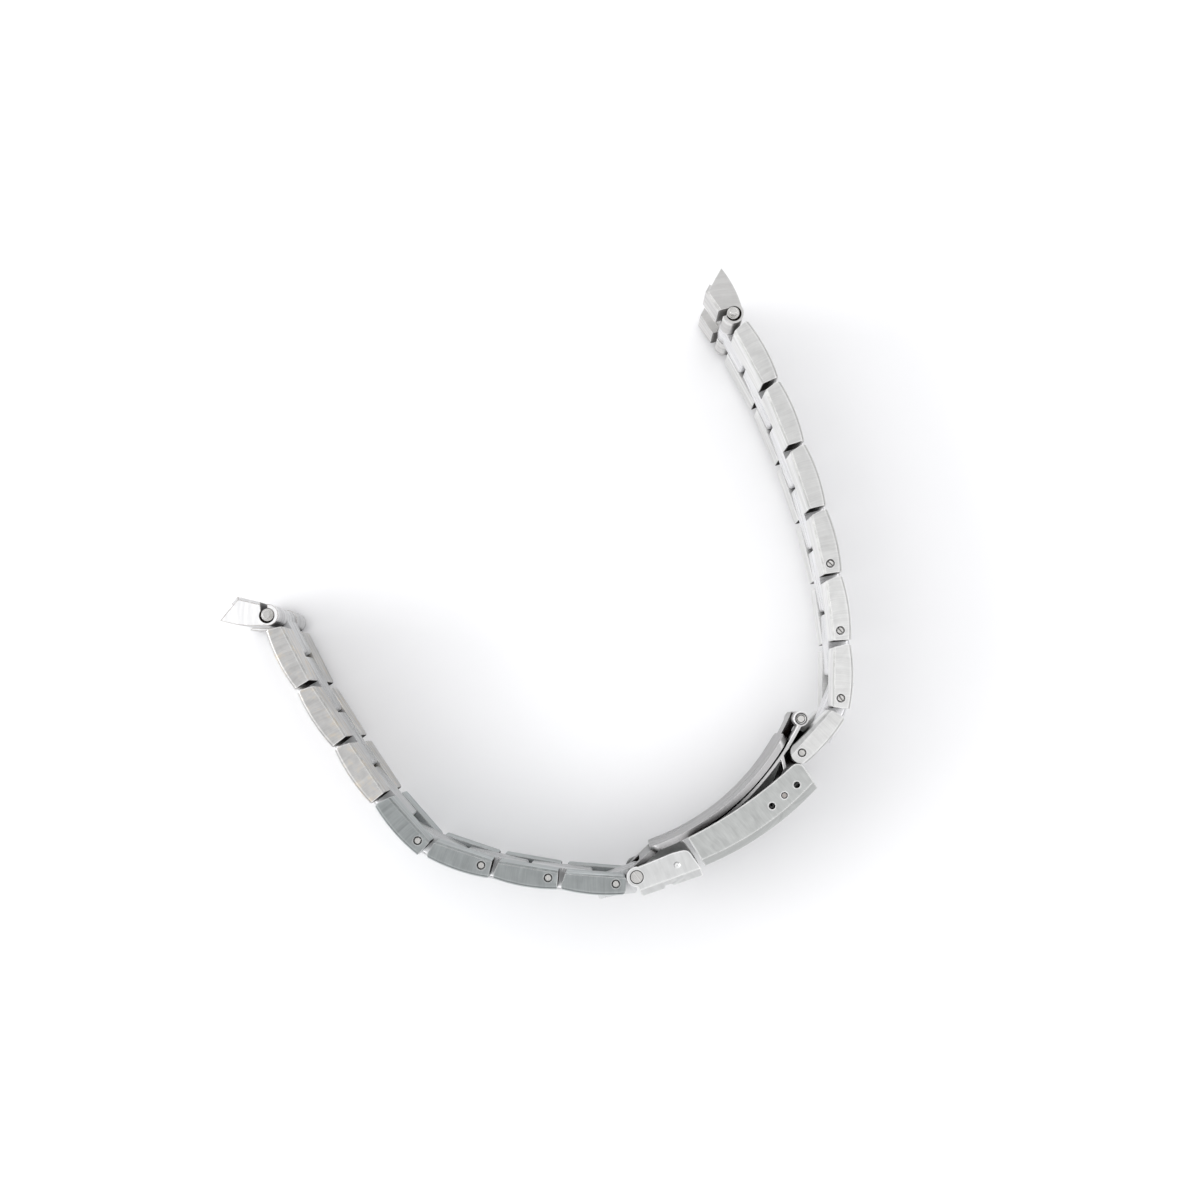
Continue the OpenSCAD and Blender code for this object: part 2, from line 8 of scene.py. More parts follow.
# %% Load the frame
import json
import math
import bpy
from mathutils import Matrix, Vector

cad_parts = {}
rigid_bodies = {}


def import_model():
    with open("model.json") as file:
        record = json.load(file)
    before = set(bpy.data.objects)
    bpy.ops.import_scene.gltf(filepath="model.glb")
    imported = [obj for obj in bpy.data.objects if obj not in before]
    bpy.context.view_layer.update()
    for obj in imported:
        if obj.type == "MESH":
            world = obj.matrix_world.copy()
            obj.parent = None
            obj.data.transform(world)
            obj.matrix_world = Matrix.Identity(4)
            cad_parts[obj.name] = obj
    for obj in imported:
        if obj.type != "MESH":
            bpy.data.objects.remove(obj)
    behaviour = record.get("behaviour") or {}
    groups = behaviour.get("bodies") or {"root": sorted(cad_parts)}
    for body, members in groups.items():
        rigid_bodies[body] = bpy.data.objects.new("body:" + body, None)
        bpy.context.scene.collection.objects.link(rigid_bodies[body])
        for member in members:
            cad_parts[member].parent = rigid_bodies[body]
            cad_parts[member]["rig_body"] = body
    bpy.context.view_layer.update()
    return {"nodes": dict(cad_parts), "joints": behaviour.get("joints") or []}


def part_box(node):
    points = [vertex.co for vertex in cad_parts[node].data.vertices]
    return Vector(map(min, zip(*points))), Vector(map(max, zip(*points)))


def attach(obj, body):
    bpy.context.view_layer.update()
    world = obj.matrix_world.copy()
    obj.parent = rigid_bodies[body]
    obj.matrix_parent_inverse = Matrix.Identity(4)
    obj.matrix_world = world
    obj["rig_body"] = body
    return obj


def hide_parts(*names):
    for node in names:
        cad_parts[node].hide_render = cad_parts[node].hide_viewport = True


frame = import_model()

from types import SimpleNamespace
import bmesh
import bpy
from mathutils import Matrix, Vector

MM = 0.001
nodes = frame["nodes"]

# %% [markdown]
# ## The camera
# The photograph looks almost straight down from about 24 cm. The lens and the small tilt were worked
# out from the piece's own upright edges, which all lean away from one point under the camera. A
# camera is placed best by its three axes, because rotations by hand are easy to get wrong.

# %% Place the camera
right = Vector((0.999967, 0.0, -0.008145))
up = Vector((0.000509, 0.998048, 0.062444))
back = Vector((0.008129, -0.062446, 0.998015))
camera_at = Vector((9.06, -16.0, 241.8)) * MM

camera = bpy.data.objects.new("Camera", bpy.data.cameras.new("Camera"))
bpy.context.scene.collection.objects.link(camera)
axes = Matrix((right, up, back)).transposed()
camera.matrix_world = Matrix.Translation(camera_at) @ axes.to_4x4()
camera.data.sensor_width = 36
camera.data.lens = 55.14
camera.data.clip_start = 0.01
camera.data.clip_end = 20
bpy.context.scene.camera = camera
print("camera at", tuple(round(c, 4) for c in camera_at), "m")

# %% [markdown]
# ## Where each piece lies
# Brushed lines follow a piece's own length, so each piece needs its heading. The frame's joints give
# it for the links: a link runs from its own pin to the next one. The clasp's pieces and the end links
# have no such pair of pins, so their brushing has a heading that is written down.

# %% Find a piece's middle and heading
own_pin = {joint["child"]: Vector(joint["pos_m"]) for joint in frame["joints"]}
next_pin = {}
for joint in frame["joints"]:
    next_pin.setdefault(joint["parent"], Vector(joint["pos_m"]))

# Degrees from the X axis
set_headings = {"clasp_cover": 40.25, "long_blade": 43.25, "short_blade": 51.25, "flip_lock": 20.0,
                "twelve_end_link": 99.0, "six_end_link": 177.0}


def middle_of(node):
    """The middle of a node's box at rest."""
    low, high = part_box(node)
    return (low + high) / 2


def place_of(node):
    """A node's middle, its body's heading in radians, and the side, 1 or -1, that the wrist is on."""
    body = nodes[node]["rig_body"]
    if body in set_headings:
        heading = math.radians(set_headings[body])
    else:
        way = next_pin[body] - own_pin[body]
        heading = math.atan2(way.y, way.x)
    # The origin lies inside the bracelet, where the wrist is
    middle = middle_of(node)
    to_wrist = math.sin(heading) * middle.x - math.cos(heading) * middle.y
    return middle, heading, math.copysign(1.0, to_wrist)


print("heading of the first row:", round(math.degrees(place_of("twelve_outer_1")[1]), 1), "degrees")

# %% [markdown]
# ## The curved end links
# An end link fills the gap between the last row and the round watch case. The solid in the CAD model
# is plainer: the real one has a bevelled ledge towards the wrist, with a notch over the centre row,
# and an open slot through which a tool reaches the spring bar. It could be pushed and pulled from a
# box, but its curves are clearer as outlines. They are drawn in millimetres as seen along the spring
# bar, with the bar at the origin, X towards the tip and Y towards the wrist.

# %% Name the end link's sizes
# The ear round the spring bar, from one angle to another
EAR_R = 1.3
EAR_FROM, EAR_TO = 90, 294
# The curved outer side, and how far the centre row's step stands off it
CURVE_R = 13.0
CURVE_LOW = (0.2, -1.19)
CURVE_STEPS = 40
CENTRE_STEP = 0.35
SIDE_FROM, CENTRE_FROM, PAST_TIP = 0.6, 0.5, 7.2
CENTRE_TOP = [(3.9, 1.2), (0.5, 1.0)]
# The seat of the case slants from its top to its foot, and the ledge stands beside its top
SLANT_TOP, SLANT_FOOT = Vector((3.97, 1.75)), Vector((7.44, -1.6))
LEDGE_LOW, LEDGE_HIGH = Vector((0.51, 1.57)), Vector((3.35, 2.63))
LEDGE_END, LEDGE_ROOT = Vector((4.2, 1.87)), Vector((1.2, 0.75))
print("the slant is", round((SLANT_FOOT - SLANT_TOP).length, 2), "mm long")

# %% Draw the outlines


def arc(centre, radius, start, end, steps=CURVE_STEPS):
    """Points on an arc, from one angle in degrees to another."""
    turns = [math.radians(start + (end - start) * i / steps) for i in range(steps + 1)]
    return [(centre[0] + radius * math.cos(t), centre[1] + radius * math.sin(t)) for t in turns]


def outer_curve(raised, start):
    """The outer side from start to just past the tip, raised off its own curve."""
    radius = CURVE_R + raised
    centre = (CURVE_LOW[0], CURVE_LOW[1] + CURVE_R)
    turns = [math.degrees(math.asin((x - centre[0]) / radius)) - 90 for x in (start, PAST_TIP)]
    return arc(centre, radius, *turns)


ear = arc((0, 0), EAR_R, EAR_FROM, EAR_TO)
side_outline = ear + outer_curve(0.0, SIDE_FROM) + [SLANT_TOP, LEDGE_LOW]
centre_outline = outer_curve(CENTRE_STEP, CENTRE_FROM) + CENTRE_TOP
ledge_outline = [LEDGE_ROOT, SLANT_TOP, LEDGE_END, LEDGE_HIGH, LEDGE_LOW]
print("outlines:", len(side_outline), len(centre_outline), len(ledge_outline), "points")

# %% [markdown]
# ## From an outline to a solid
# Each step of the milling needs a closed solid. A slab is an outline pulled out to both sides of the
# link's middle plane. A bmesh turns all its faces outwards, because a Boolean modifier that meets a
# face turned inwards cuts away the wrong side.

# %% Pull an outline out to a solid


def solid(name, corners, faces, place=Matrix()):
    """A closed mesh object with its faces turned outwards."""
    mesh = bpy.data.meshes.new(name)
    mesh.from_pydata([place @ Vector(corner) for corner in corners], [], faces)
    shell = bmesh.new()
    shell.from_mesh(mesh)
    bmesh.ops.recalc_face_normals(shell, faces=shell.faces)
    shell.to_mesh(mesh)
    shell.free()
    return bpy.data.objects.new(name, mesh)


def slab(name, outline, half, place=Matrix()):
    """An outline pulled out by half to both sides of the middle plane."""
    count = len(outline)
    corners = [(x, y, z) for z in (-half, half) for x, y in outline]
    walls = [(i, (i + 1) % count, count + (i + 1) % count, count + i) for i in range(count)]
    caps = [tuple(range(count)), tuple(range(count, 2 * count))]
    return solid(name, corners, walls + caps, place)


END_HALF = 9.95
blank = slab("End link blank", side_outline, END_HALF)
print("blank:", len(blank.data.polygons), "faces")

# %% [markdown]
# The ledge's edges are bevelled on both flat sides of the link. A wedge along an edge cuts its bevel,
# and it stands a little proud of the link, so that no face of it lies on a face of the link.

# %% Shape the wedges
BEVEL = 0.32
PROUD = 0.1


def edge_cut(name, start, end, before, after):
    """Two wedges that bevel the edge from start to end; the outside is on the left of that way."""
    way = (end - start).normalized()
    out = Vector((-way.y, way.x))
    profile = ((PROUD, BEVEL + PROUD), (PROUD, -PROUD), (-BEVEL - PROUD, -PROUD))
    faces = [(0, 1, 2), (3, 4, 5), (0, 1, 4, 3), (1, 2, 5, 4), (2, 0, 3, 5)]
    wedges = []
    for word, sign in (("_low", -1), ("_high", 1)):
        corners = [(*(at + out * off), sign * (END_HALF - drop))
                   for at in (start - way * before, end + way * after) for off, drop in profile]
        wedges.append(solid(name + word, corners, faces))
    return wedges


BEVEL_PAST = 0.5
bevels = (edge_cut("Ledge bevel", LEDGE_LOW, LEDGE_HIGH, 0.0, BEVEL_PAST)
          + edge_cut("Ledge end bevel", LEDGE_HIGH, LEDGE_END, BEVEL_PAST, BEVEL_PAST))
print("wedges:", len(bevels))

# %% [markdown]
# The other cutters are slabs with a round or a square outline. The case is a wide cylinder that lies
# along the slant, and its side hollows out the seat.

# %% Shape the other cutters


def box_outline(left, bottom, right, top):
    """The four corners of a rectangle."""
    return [(left, bottom), (right, bottom), (right, top), (left, top)]


def circle(radius, sides):
    """The corners of a round outline about the spring bar."""
    return arc((0, 0), radius, 0, 360 - 360 / sides, sides - 1)


def turned_to(start, end):
    """A place at start, with its X axis towards end."""
    way = end - start
    return Matrix.Translation((*start, 0)) @ Matrix.Rotation(math.atan2(way.y, way.x), 4, "Z")


# The case's axis lies so far beyond the slant that the case's side crosses it at the lugs
CASE_R = 20.0
CASE_HALF = 20.0
LUG_WIDTH = 20.0
axis_beyond = math.sqrt(CASE_R ** 2 - LUG_WIDTH ** 2 / 4)
case_place = (turned_to(SLANT_TOP, SLANT_FOOT) @ Matrix.Translation((0, axis_beyond, 0))
              @ Matrix.Rotation(math.radians(90), 4, "Y"))
print("the seat is", round(CASE_R - axis_beyond, 2), "mm deep in its middle")

# %% [markdown]
# ## Milling the end link
# The blank is built up and cut in the order in which it could be milled: the raised centre, the round
# seat, the ledge with its bevels and its notch, the bore and the slot, and the room for the centre
# link. Boolean modifiers do this without moving a corner by hand, and it is easy to change a size.

# %% List the steps
CENTRE_HALF = 3.3
NOTCH_DEPTH = 1.1
NOTCH_FROM = -0.5
BORE_R = 0.8
SLOT_LEFT, SLOT_RIGHT = -0.1, 0.72
PLATE_FROM = 3.36
BARREL_R = 1.4
BARREL_HALF = PLATE_FROM - 0.01
# Past every end of the link, along the spring bar and across it
THROUGH = 12.0
FAR = 10.0

notch = box_outline(NOTCH_FROM, -NOTCH_DEPTH, FAR, FAR)
steps = [
    ("UNION", slab("Centre step", centre_outline, CENTRE_HALF)),
    ("DIFFERENCE", slab("Round case", circle(CASE_R, 180), CASE_HALF, case_place)),
    ("UNION", slab("Ledge", ledge_outline, END_HALF)),
    *[("DIFFERENCE", wedge) for wedge in bevels],
    ("DIFFERENCE", slab("Notch", notch, CENTRE_HALF, turned_to(LEDGE_LOW, LEDGE_HIGH))),
    ("DIFFERENCE", slab("Bore", circle(BORE_R, 60), THROUGH)),
    ("DIFFERENCE", slab("Slot", box_outline(SLOT_LEFT, 0, SLOT_RIGHT, FAR), THROUGH)),
    ("DIFFERENCE", slab("Room between the ears", box_outline(-FAR, -FAR, 0, FAR), PLATE_FROM)),
    ("DIFFERENCE", slab("Room for the barrel", circle(BARREL_R, 60), BARREL_HALF)),
]
print("milling steps:", len(steps))

# %% [markdown]
# Modifiers are worked out for objects in the scene, so the blank and the cutters stand in a workshop
# collection of their own meanwhile. The finished mesh is copied out, and the workshop is cleared.

# %% Mill the blank
workshop = bpy.data.collections.new("Workshop")
bpy.context.scene.collection.children.link(workshop)
for tool in [blank] + [tool for _, tool in steps]:
    workshop.objects.link(tool)
for operation, tool in steps:
    cut = blank.modifiers.new(tool.name, "BOOLEAN")
    cut.operation, cut.object, cut.solver = operation, tool, "EXACT"
bpy.context.view_layer.update()
milled = bpy.data.meshes.new_from_object(blank.evaluated_get(bpy.context.evaluated_depsgraph_get()))
for tool in list(workshop.objects):
    bpy.data.objects.remove(tool)
bpy.data.collections.remove(workshop)

# A bevel leans between the flat sides and the faces along the bar, and takes the second material
BEVEL_LEAN = (0.4, 0.95)
for face in milled.polygons:
    face.material_index = int(BEVEL_LEAN[0] < abs(face.normal.z) < BEVEL_LEAN[1])
print("end link:", len(milled.polygons), "faces")

# %% [markdown]
# ## The end links in place
# The two end links are one form and its mirror image, each on its own spring bar, turned as they lie
# in the photograph. Each replaces the plainer solid of the CAD model and rides on the same body, so
# it turns with that body's joint.

# %% Put an end link on each spring bar
SMOOTH_UP_TO = math.radians(25)
# Degrees from the X axis to the tip, and -1 where the form is mirrored
END_PLACES = {"twelve": (104.2, 1), "six": (187.3, -1)}
end_links = {}
for side, (angle, mirror) in END_PLACES.items():
    place = (Matrix.Translation(middle_of(side + "_case_bar"))
             @ Matrix.Rotation(math.radians(angle), 4, "Z")
             @ Matrix.Diagonal((MM, mirror * MM, MM, 1)))
    mesh = milled.copy()
    mesh.transform(place)
    if mirror < 0:
        mesh.flip_normals()
    mesh.shade_smooth()
    mesh.set_sharp_from_angle(angle=SMOOTH_UP_TO)
    piece = bpy.data.objects.new(side + "_end_piece", mesh)
    bpy.context.scene.collection.objects.link(piece)
    node = side + "_end_link"
    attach(piece, nodes[node]["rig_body"])
    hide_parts(node)
    end_links[node] = piece
print("end links placed:", ", ".join(piece.name for piece in end_links.values()))

# %% [markdown]
# ## Small helpers for shader nodes
# Every finish is a small tree of nodes. Trees can be wired by hand in the editor, but sums of ten
# nodes are easier to read as code. These helpers add a node, do sums with numbers and vectors, and
# map one range to another.

# %% Helpers for sums


def add(tree, kind, inputs=(), **values):
    """A new node in the tree, with attributes from values and sockets from inputs."""
    node = tree.nodes.new(kind)
    for key, value in values.items():
        setattr(node, key, value)
    for key, value in dict(inputs).items():
        if isinstance(value, bpy.types.NodeSocket):
            tree.links.new(value, node.inputs[key])
        else:
            node.inputs[key].default_value = value
    return node


def maths(tree, operation, *values):
    """A Math node; each value is a number or a socket."""
    return add(tree, "ShaderNodeMath", enumerate(values), operation=operation).outputs[0]


def vector_maths(tree, operation, first, second=(0, 0, 0)):
    """A Vector Math node; the second value of SCALE is its factor."""
    second_socket = 3 if operation == "SCALE" else 1
    node = add(tree, "ShaderNodeVectorMath", {0: first, second_socket: second}, operation=operation)
    return node.outputs["Value" if operation in ("DOT_PRODUCT", "LENGTH") else "Vector"]


def turned(tree, vector, angle):
    """A vector turned about the upright axis."""
    values = {"Vector": vector, "Angle": angle}
    return add(tree, "ShaderNodeVectorRotate", values, rotation_type="Z_AXIS").outputs[0]


def ramp(tree, value, low, high, to_low=0.0, to_high=1.0):
    """Maps a value from one range to another and clamps it."""
    return add(tree, "ShaderNodeMapRange", {"Value": value, "From Min": low, "From Max": high,
                                            "To Min": to_low, "To Max": to_high}).outputs["Result"]


# %% [markdown]
# Two more kinds of helper draw noise and mix colours, and two open and close a node group. With a
# seed the noise is four-dimensional, so that each piece gets marks of its own.

# %% Helpers for noise, colours and groups


def noise(tree, vector, seed=None, scale=1.0, detail=1.0, roughness=0.5):
    """A Noise Texture's factor."""
    values = {"Vector": vector, "Scale": scale, "Detail": detail, "Roughness": roughness}
    if seed is None:
        return add(tree, "ShaderNodeTexNoise", values).outputs[0]
    return add(tree, "ShaderNodeTexNoise", {"W": seed, **values}, noise_dimensions="4D").outputs[0]


def mixed(tree, factor, first, second):
    """A mix of two colours or vectors; a Mix node's colour sockets are found by their type."""
    node = add(tree, "ShaderNodeMix", {"Factor": factor}, data_type="RGBA")
    sockets = [socket for socket in node.inputs if socket.type == "RGBA"]
    for socket, value in zip(sockets, (first, second)):
        if isinstance(value, bpy.types.NodeSocket):
            tree.links.new(value, socket)
        else:
            socket.default_value = (*value, 1)
    return next(socket for socket in node.outputs if socket.type == "RGBA")


def new_group(name, inputs, outputs):
    """A shader node group; inputs and outputs map a socket's name to its kind and value."""
    tree = bpy.data.node_groups.new(name, "ShaderNodeTree")
    for key, (kind, value) in inputs.items():
        socket = tree.interface.new_socket(key, in_out="INPUT", socket_type="NodeSocket" + kind)
        socket.default_value = value
    for key, kind in outputs.items():
        tree.interface.new_socket(key, in_out="OUTPUT", socket_type="NodeSocket" + kind)
    return tree, tree.nodes.new("NodeGroupInput").outputs, tree.nodes.new("NodeGroupOutput").inputs


def put_out(tree, result, outputs):
    """Links a group's outputs by name and says how large the group is."""
    for key, value in outputs.items():
        tree.links.new(value, result[key])
    print(tree.name + ":", len(tree.nodes), "nodes")


# %% [markdown]
# ## Brushed lines
# A satin side is made by drawing the link over a belt: thousands of fine parallel scratches, some
# broad and some faint. A picture of scratches would show where it repeats, so noise that is stretched
# along the belt's way draws them. First each point is put in the piece's own frame, with X along it.

# %% Open the group in the piece's own frame
# A flat side begins, and is full, where the upright part of the normal is this large
FLAT_SIDE = (0.6, 0.8)
brushed, given, result = new_group(
    "Brushed lines",
    {"Middle": ("Vector", (0, 0, 0)), "Heading": ("Float", 0.0), "Wrist Side": ("Float", 1.0),
     "Line Width": ("Float", 0.12 * MM), "Line Length": ("Float", 6.0 * MM),
     "Face Line Width": ("Float", 0.4 * MM), "Lengthwise": ("Float", 0.0), "Slip": ("Float", 0.5 * MM),
     "Bend": ("Float", 60.0), "Seed": ("Float", 0.0)},
    {"Lines": "Float", "Bands": "Float", "Side": "Float", "End": "Float"})
coordinates = add(brushed, "ShaderNodeTexCoord").outputs
back_turn = maths(brushed, "MULTIPLY", given["Heading"], -1.0)
from_middle = vector_maths(brushed, "SUBTRACT", coordinates["Object"], given["Middle"])
local = turned(brushed, from_middle, back_turn)
at = add(brushed, "ShaderNodeSeparateXYZ", {0: local}).outputs
own_normal = turned(brushed, coordinates["Normal"], back_turn)
facing = add(brushed, "ShaderNodeSeparateXYZ", {0: own_normal}).outputs
side = ramp(brushed, maths(brushed, "ABSOLUTE", facing["Z"]), *FLAT_SIDE)
print("inputs:", ", ".join(socket.name for socket in given if socket.name))

# %% [markdown]
# The link doesn't lie still on the belt, so the lines across a flat side are bent into a shallow bow,
# and a slow noise pushes them about. On the crown and the wrist face they run along the piece.

# %% Lay the lines across and along
# Patches of slip in a metre, and how long the lines are on the faces beside those on the sides
SLIP_PATCHES = 380.0
SHORTEST_FACE_LINE = 5.0 * MM
FACE_LINE_GAIN = 1.25
slip = noise(brushed, local, given["Seed"], SLIP_PATCHES)
pushed = maths(brushed, "MULTIPLY_ADD", slip, given["Slip"], at["X"])
squared = maths(brushed, "MULTIPLY", at["Y"], at["Y"])
bowed = maths(brushed, "MULTIPLY_ADD", squared, given["Bend"], pushed)
across = add(brushed, "ShaderNodeCombineXYZ", {
    0: maths(brushed, "DIVIDE", bowed, given["Line Width"]),
    1: maths(brushed, "DIVIDE", at["Y"], given["Line Length"]),
    2: given["Seed"]}).outputs[0]
face_line = maths(brushed, "MAXIMUM", given["Line Length"], SHORTEST_FACE_LINE)
along = add(brushed, "ShaderNodeCombineXYZ", {
    0: maths(brushed, "DIVIDE", at["Z"], given["Face Line Width"]),
    1: maths(brushed, "DIVIDE", at["X"], maths(brushed, "MULTIPLY", face_line, FACE_LINE_GAIN)),
    2: given["Seed"]}).outputs[0]
crosswise = maths(brushed, "SUBTRACT", 1.0, given["Lengthwise"])
laid = mixed(brushed, maths(brushed, "MULTIPLY", side, crosswise), along, across)
print("lines laid out with", len(brushed.nodes), "nodes")

# %% [markdown]
# One noise gives the fine lines and a slower one the broad bands. The group also marks the faces at
# a link's ends, on the wrist's half, where the painted shade in the gaps begins sooner.

# %% Draw the lines and mark the ends
# How the bands are drawn out, and the middle part of a noise that is spread from 0 to 1
BROAD = (0.33, 0.8, 1.0)
CONTRAST = (0.3, 0.7)
# How squarely an end face looks along the piece, and how far towards the wrist the painted shade begins
END_FACE = (0.5, 0.8)
WRIST_HALF = (0.1 * MM, 0.7 * MM)
fine = noise(brushed, laid, detail=2.0, roughness=0.6)
broad = noise(brushed, vector_maths(brushed, "MULTIPLY", laid, BROAD))
end_face = ramp(brushed, maths(brushed, "ABSOLUTE", facing["X"]), *END_FACE)
to_wrist = maths(brushed, "MULTIPLY", at["Y"], given["Wrist Side"])
put_out(brushed, result, {
    "Lines": ramp(brushed, fine, *CONTRAST), "Bands": ramp(brushed, broad, *CONTRAST), "Side": side,
    "End": maths(brushed, "MULTIPLY", end_face, ramp(brushed, to_wrist, *WRIST_HALF))})

# %% [markdown]
# ## Marks of wear
# A bracelet that has been worn has faint hairlines in every direction and dull patches from handling.
# Stretched noise at two slants, cut off high, leaves only a few thin marks.

# %% Build the group for handling marks
# The slants in radians, how the marks are drawn out, and the parts of the noises that are kept
SLANTS = (0.5, 1.9)
MARK_STRETCH = (6.0, 0.25, 1.0)
MARK_CUT = (0.68, 0.74)
PATCH_CUT = (0.35, 0.65)
handled, given, result = new_group(
    "Handling marks", {"Seed": ("Float", 0.0), "Mark Size": ("Float", 0.6 * MM)},
    {"Hairlines": "Float", "Patches": "Float"})
surface = add(handled, "ShaderNodeTexCoord").outputs["Object"]
sized = vector_maths(handled, "SCALE", surface, maths(handled, "DIVIDE", 1.0, given["Mark Size"]))
marks = []
for slant in SLANTS:
    drawn = vector_maths(handled, "MULTIPLY", turned(handled, sized, slant), MARK_STRETCH)
    marks.append(ramp(handled, noise(handled, drawn, given["Seed"]), *MARK_CUT))
patches = noise(handled, sized, given["Seed"], scale=0.5, detail=3.0, roughness=0.6)
put_out(handled, result, {"Hairlines": maths(handled, "MAXIMUM", *marks),
                          "Patches": ramp(handled, patches, *PATCH_CUT)})

# %% [markdown]
# ## Painted shade in the gaps
# Between the plates little light reaches, so the steel there looks brown-black, and that shade is
# painted into its colour. It could be drawn as a mask, but ambient occlusion finds those places by
# itself: it is low where a point has walls close by. On a link's end faces the painted shade begins
# sooner.

# %% Build the group for painted shade in the gaps
# How much more open a place on an end face may be and still get painted shade
SOONER_AT_ENDS = 0.42
gap_shading, given, result = new_group(
    "Gap shade",
    {"Reach": ("Float", 2.2 * MM), "Start": ("Float", 0.5), "Full": ("Float", 0.22),
     "End": ("Float", 0.0)},
    {"Shade": "Float"})
open_sky = add(gap_shading, "ShaderNodeAmbientOcclusion", {"Distance": given["Reach"]}, samples=8)
start = maths(gap_shading, "MULTIPLY_ADD", given["End"], SOONER_AT_ENDS, given["Start"])
full = maths(gap_shading, "MULTIPLY_ADD", given["End"], SOONER_AT_ENDS, given["Full"])
put_out(gap_shading, result, {"Shade": ramp(gap_shading, open_sky.outputs["AO"], start, full)})

# %% [markdown]
# ## Painted edge outlines
# Each face gets a thin light outline along its edges: a painted highlight where an edge catches
# light. A Bevel node bends the normal near an edge, and where it differs from the true normal, an
# edge is close by.

# %% Build the group for painted edge outlines
# The two normals' dot product where the outline begins, and where it is full
ALIKE, BENT = 0.99, 0.9
painted_edges, given, result = new_group("Painted edge outline", {"Reach": ("Float", 0.2 * MM)}, {"Edge": "Float"})
bent_normal = add(painted_edges, "ShaderNodeBevel", {"Radius": given["Reach"]}, samples=4).outputs[0]
true_normal = add(painted_edges, "ShaderNodeNewGeometry").outputs["Normal"]
alike = vector_maths(painted_edges, "DOT_PRODUCT", bent_normal, true_normal)
put_out(painted_edges, result, {"Edge": ramp(painted_edges, alike, ALIKE, BENT)})

# %% [markdown]
# ## What a finish is
# Every piece here is of the same steel, but a plate's side, a centre link and a turned pin are not
# finished alike. One list of settings describes a finish. The satin side of a plate gives the usual
# values, and any other finish names only what differs from it.

# %% Describe a finish
SATIN = {
    # Roughness at the middle of its range, and the strength of the bump
    "rough": 0.34, "relief": 0.4,
    # A line's width on the flat sides and on the faces, and its length, in mm
    "width": 0.13, "face": 0.3, "length": 5.0,
    # 1 where the lines on the flat sides run along the piece, how far they slip in mm, and their bow
    "lengthwise": 0.0, "slip": 0.5, "bend": 60.0,
    # How much lines, the faces' broad bands and blotches change the tone
    "lines": 0.10, "streaks": 0.3, "mottle": 0.06,
    # The faces' painted light beside the flat sides' tone, a stain's colour, and the tint at a grazing
    # view
    "face_tone": 1.0, "stain": None, "tint": 0.7,
    # How much painted shade lies in the gaps, how far it comes out of them, and a ring of painted shade
    # round a pin: the pin's node, the ring's inner and outer radius in mm, and how far off it lies in mm
    "dirt": 1.0, "grimy": 0.0, "ring": None,
    # How much the painted outline along the edges shows, its tone, and its width in mm: a light tone
    # paints a highlight and a dark tone paints shade
    "edge": 0.0, "edge_tone": (0.88, 0.88, 0.87), "reach": 0.16,
}


def satin(tone, **changes):
    """The satin finish in a tone of grey, with some of its settings changed."""
    return SimpleNamespace(**{**SATIN, "tone": tone, **changes})


print("a finish has", len(SATIN) + 1, "settings")

# %% [markdown]
# ## The steel's colour
# Lines change the tone a little, bands and blotches change it over a wider stretch, and some plates
# have warm stains. The faces along the piece catch less light than its flat sides, so their tone is
# set beside the sides' as painted light. Last comes the painted outline along the edges, a highlight
# in a light tone and shade in a dark one.

# %% Mix the steel's grey
# Bands on the flat sides beside the lines, blotches on the faces beside those on the sides
SIDE_BANDS = 0.5
FACE_BLOTCHES = 0.35
STAINED_UP_TO = 0.4


def grey_of(tree, lay, worn, look):
    """A finish's grey, changed by lines, bands, blotches, stains, painted face light and a painted edge
    outline.
    """
    level = maths(tree, "MULTIPLY_ADD", lay["Lines"], look.lines, 1.0 - look.lines / 2)
    band = maths(tree, "SUBTRACT", lay["Bands"], 0.5)
    strength = ramp(tree, lay["Side"], 0.0, 1.0, look.streaks, look.lines * SIDE_BANDS)
    level = maths(tree, "MULTIPLY_ADD", band, strength, level)
    blotch = ramp(tree, lay["Side"], 0.0, 1.0, -FACE_BLOTCHES * look.mottle, -look.mottle)
    level = maths(tree, "MULTIPLY_ADD", worn["Patches"], blotch, level)
    # Painted light: the faces along the piece get a lighter or darker tone than the flat sides
    level = maths(tree, "MULTIPLY", level, ramp(tree, lay["Side"], 0.0, 1.0, look.face_tone, 1.0))
    grey = vector_maths(tree, "SCALE", look.tone, level)
    if look.stain:
        stained = vector_maths(tree, "MULTIPLY", grey, look.stain)
        spread = ramp(tree, worn["Patches"], 0.0, STAINED_UP_TO, 1.0, 0.0)
        grey = mixed(tree, spread, grey, stained)
    # The outline is painted light: a highlight in a light tone, shade in a dark one
    if look.edge:
        outline = add(tree, "ShaderNodeGroup", {"Reach": look.reach * MM}, node_tree=painted_edges).outputs[0]
        grey = mixed(tree, maths(tree, "MULTIPLY", outline, look.edge), grey, look.edge_tone)
    return grey


# %% [markdown]
# ## Rings of painted shade
# The fine gap round a pin's end lies in shade, which is painted as a dark ring. That gap is thinner
# than the occlusion can find, so the pin's place in the frame tells where the ring lies, and the
# distance from its axis draws it.

# %% Draw a ring of painted shade
SOFT_RIM = 0.04 * MM


def ring_of_shade(tree, pin, inner, outer, off=(0.0, 0.0)):
    """A mask of the ring of painted shade round a pin's end, between two radii in mm, its middle a little
    off.
    """
    axis = middle_of(pin) + Vector((*off, 0.0)) * MM
    surface = add(tree, "ShaderNodeTexCoord").outputs["Object"]
    off_axis = vector_maths(tree, "SUBTRACT", surface, axis)
    away = vector_maths(tree, "LENGTH", vector_maths(tree, "MULTIPLY", off_axis, (1, 1, 0)))
    inside = ramp(tree, away, outer * MM + SOFT_RIM, outer * MM - SOFT_RIM)
    outside = ramp(tree, away, inner * MM - SOFT_RIM, inner * MM + SOFT_RIM)
    return maths(tree, "MULTIPLY", inside, outside)
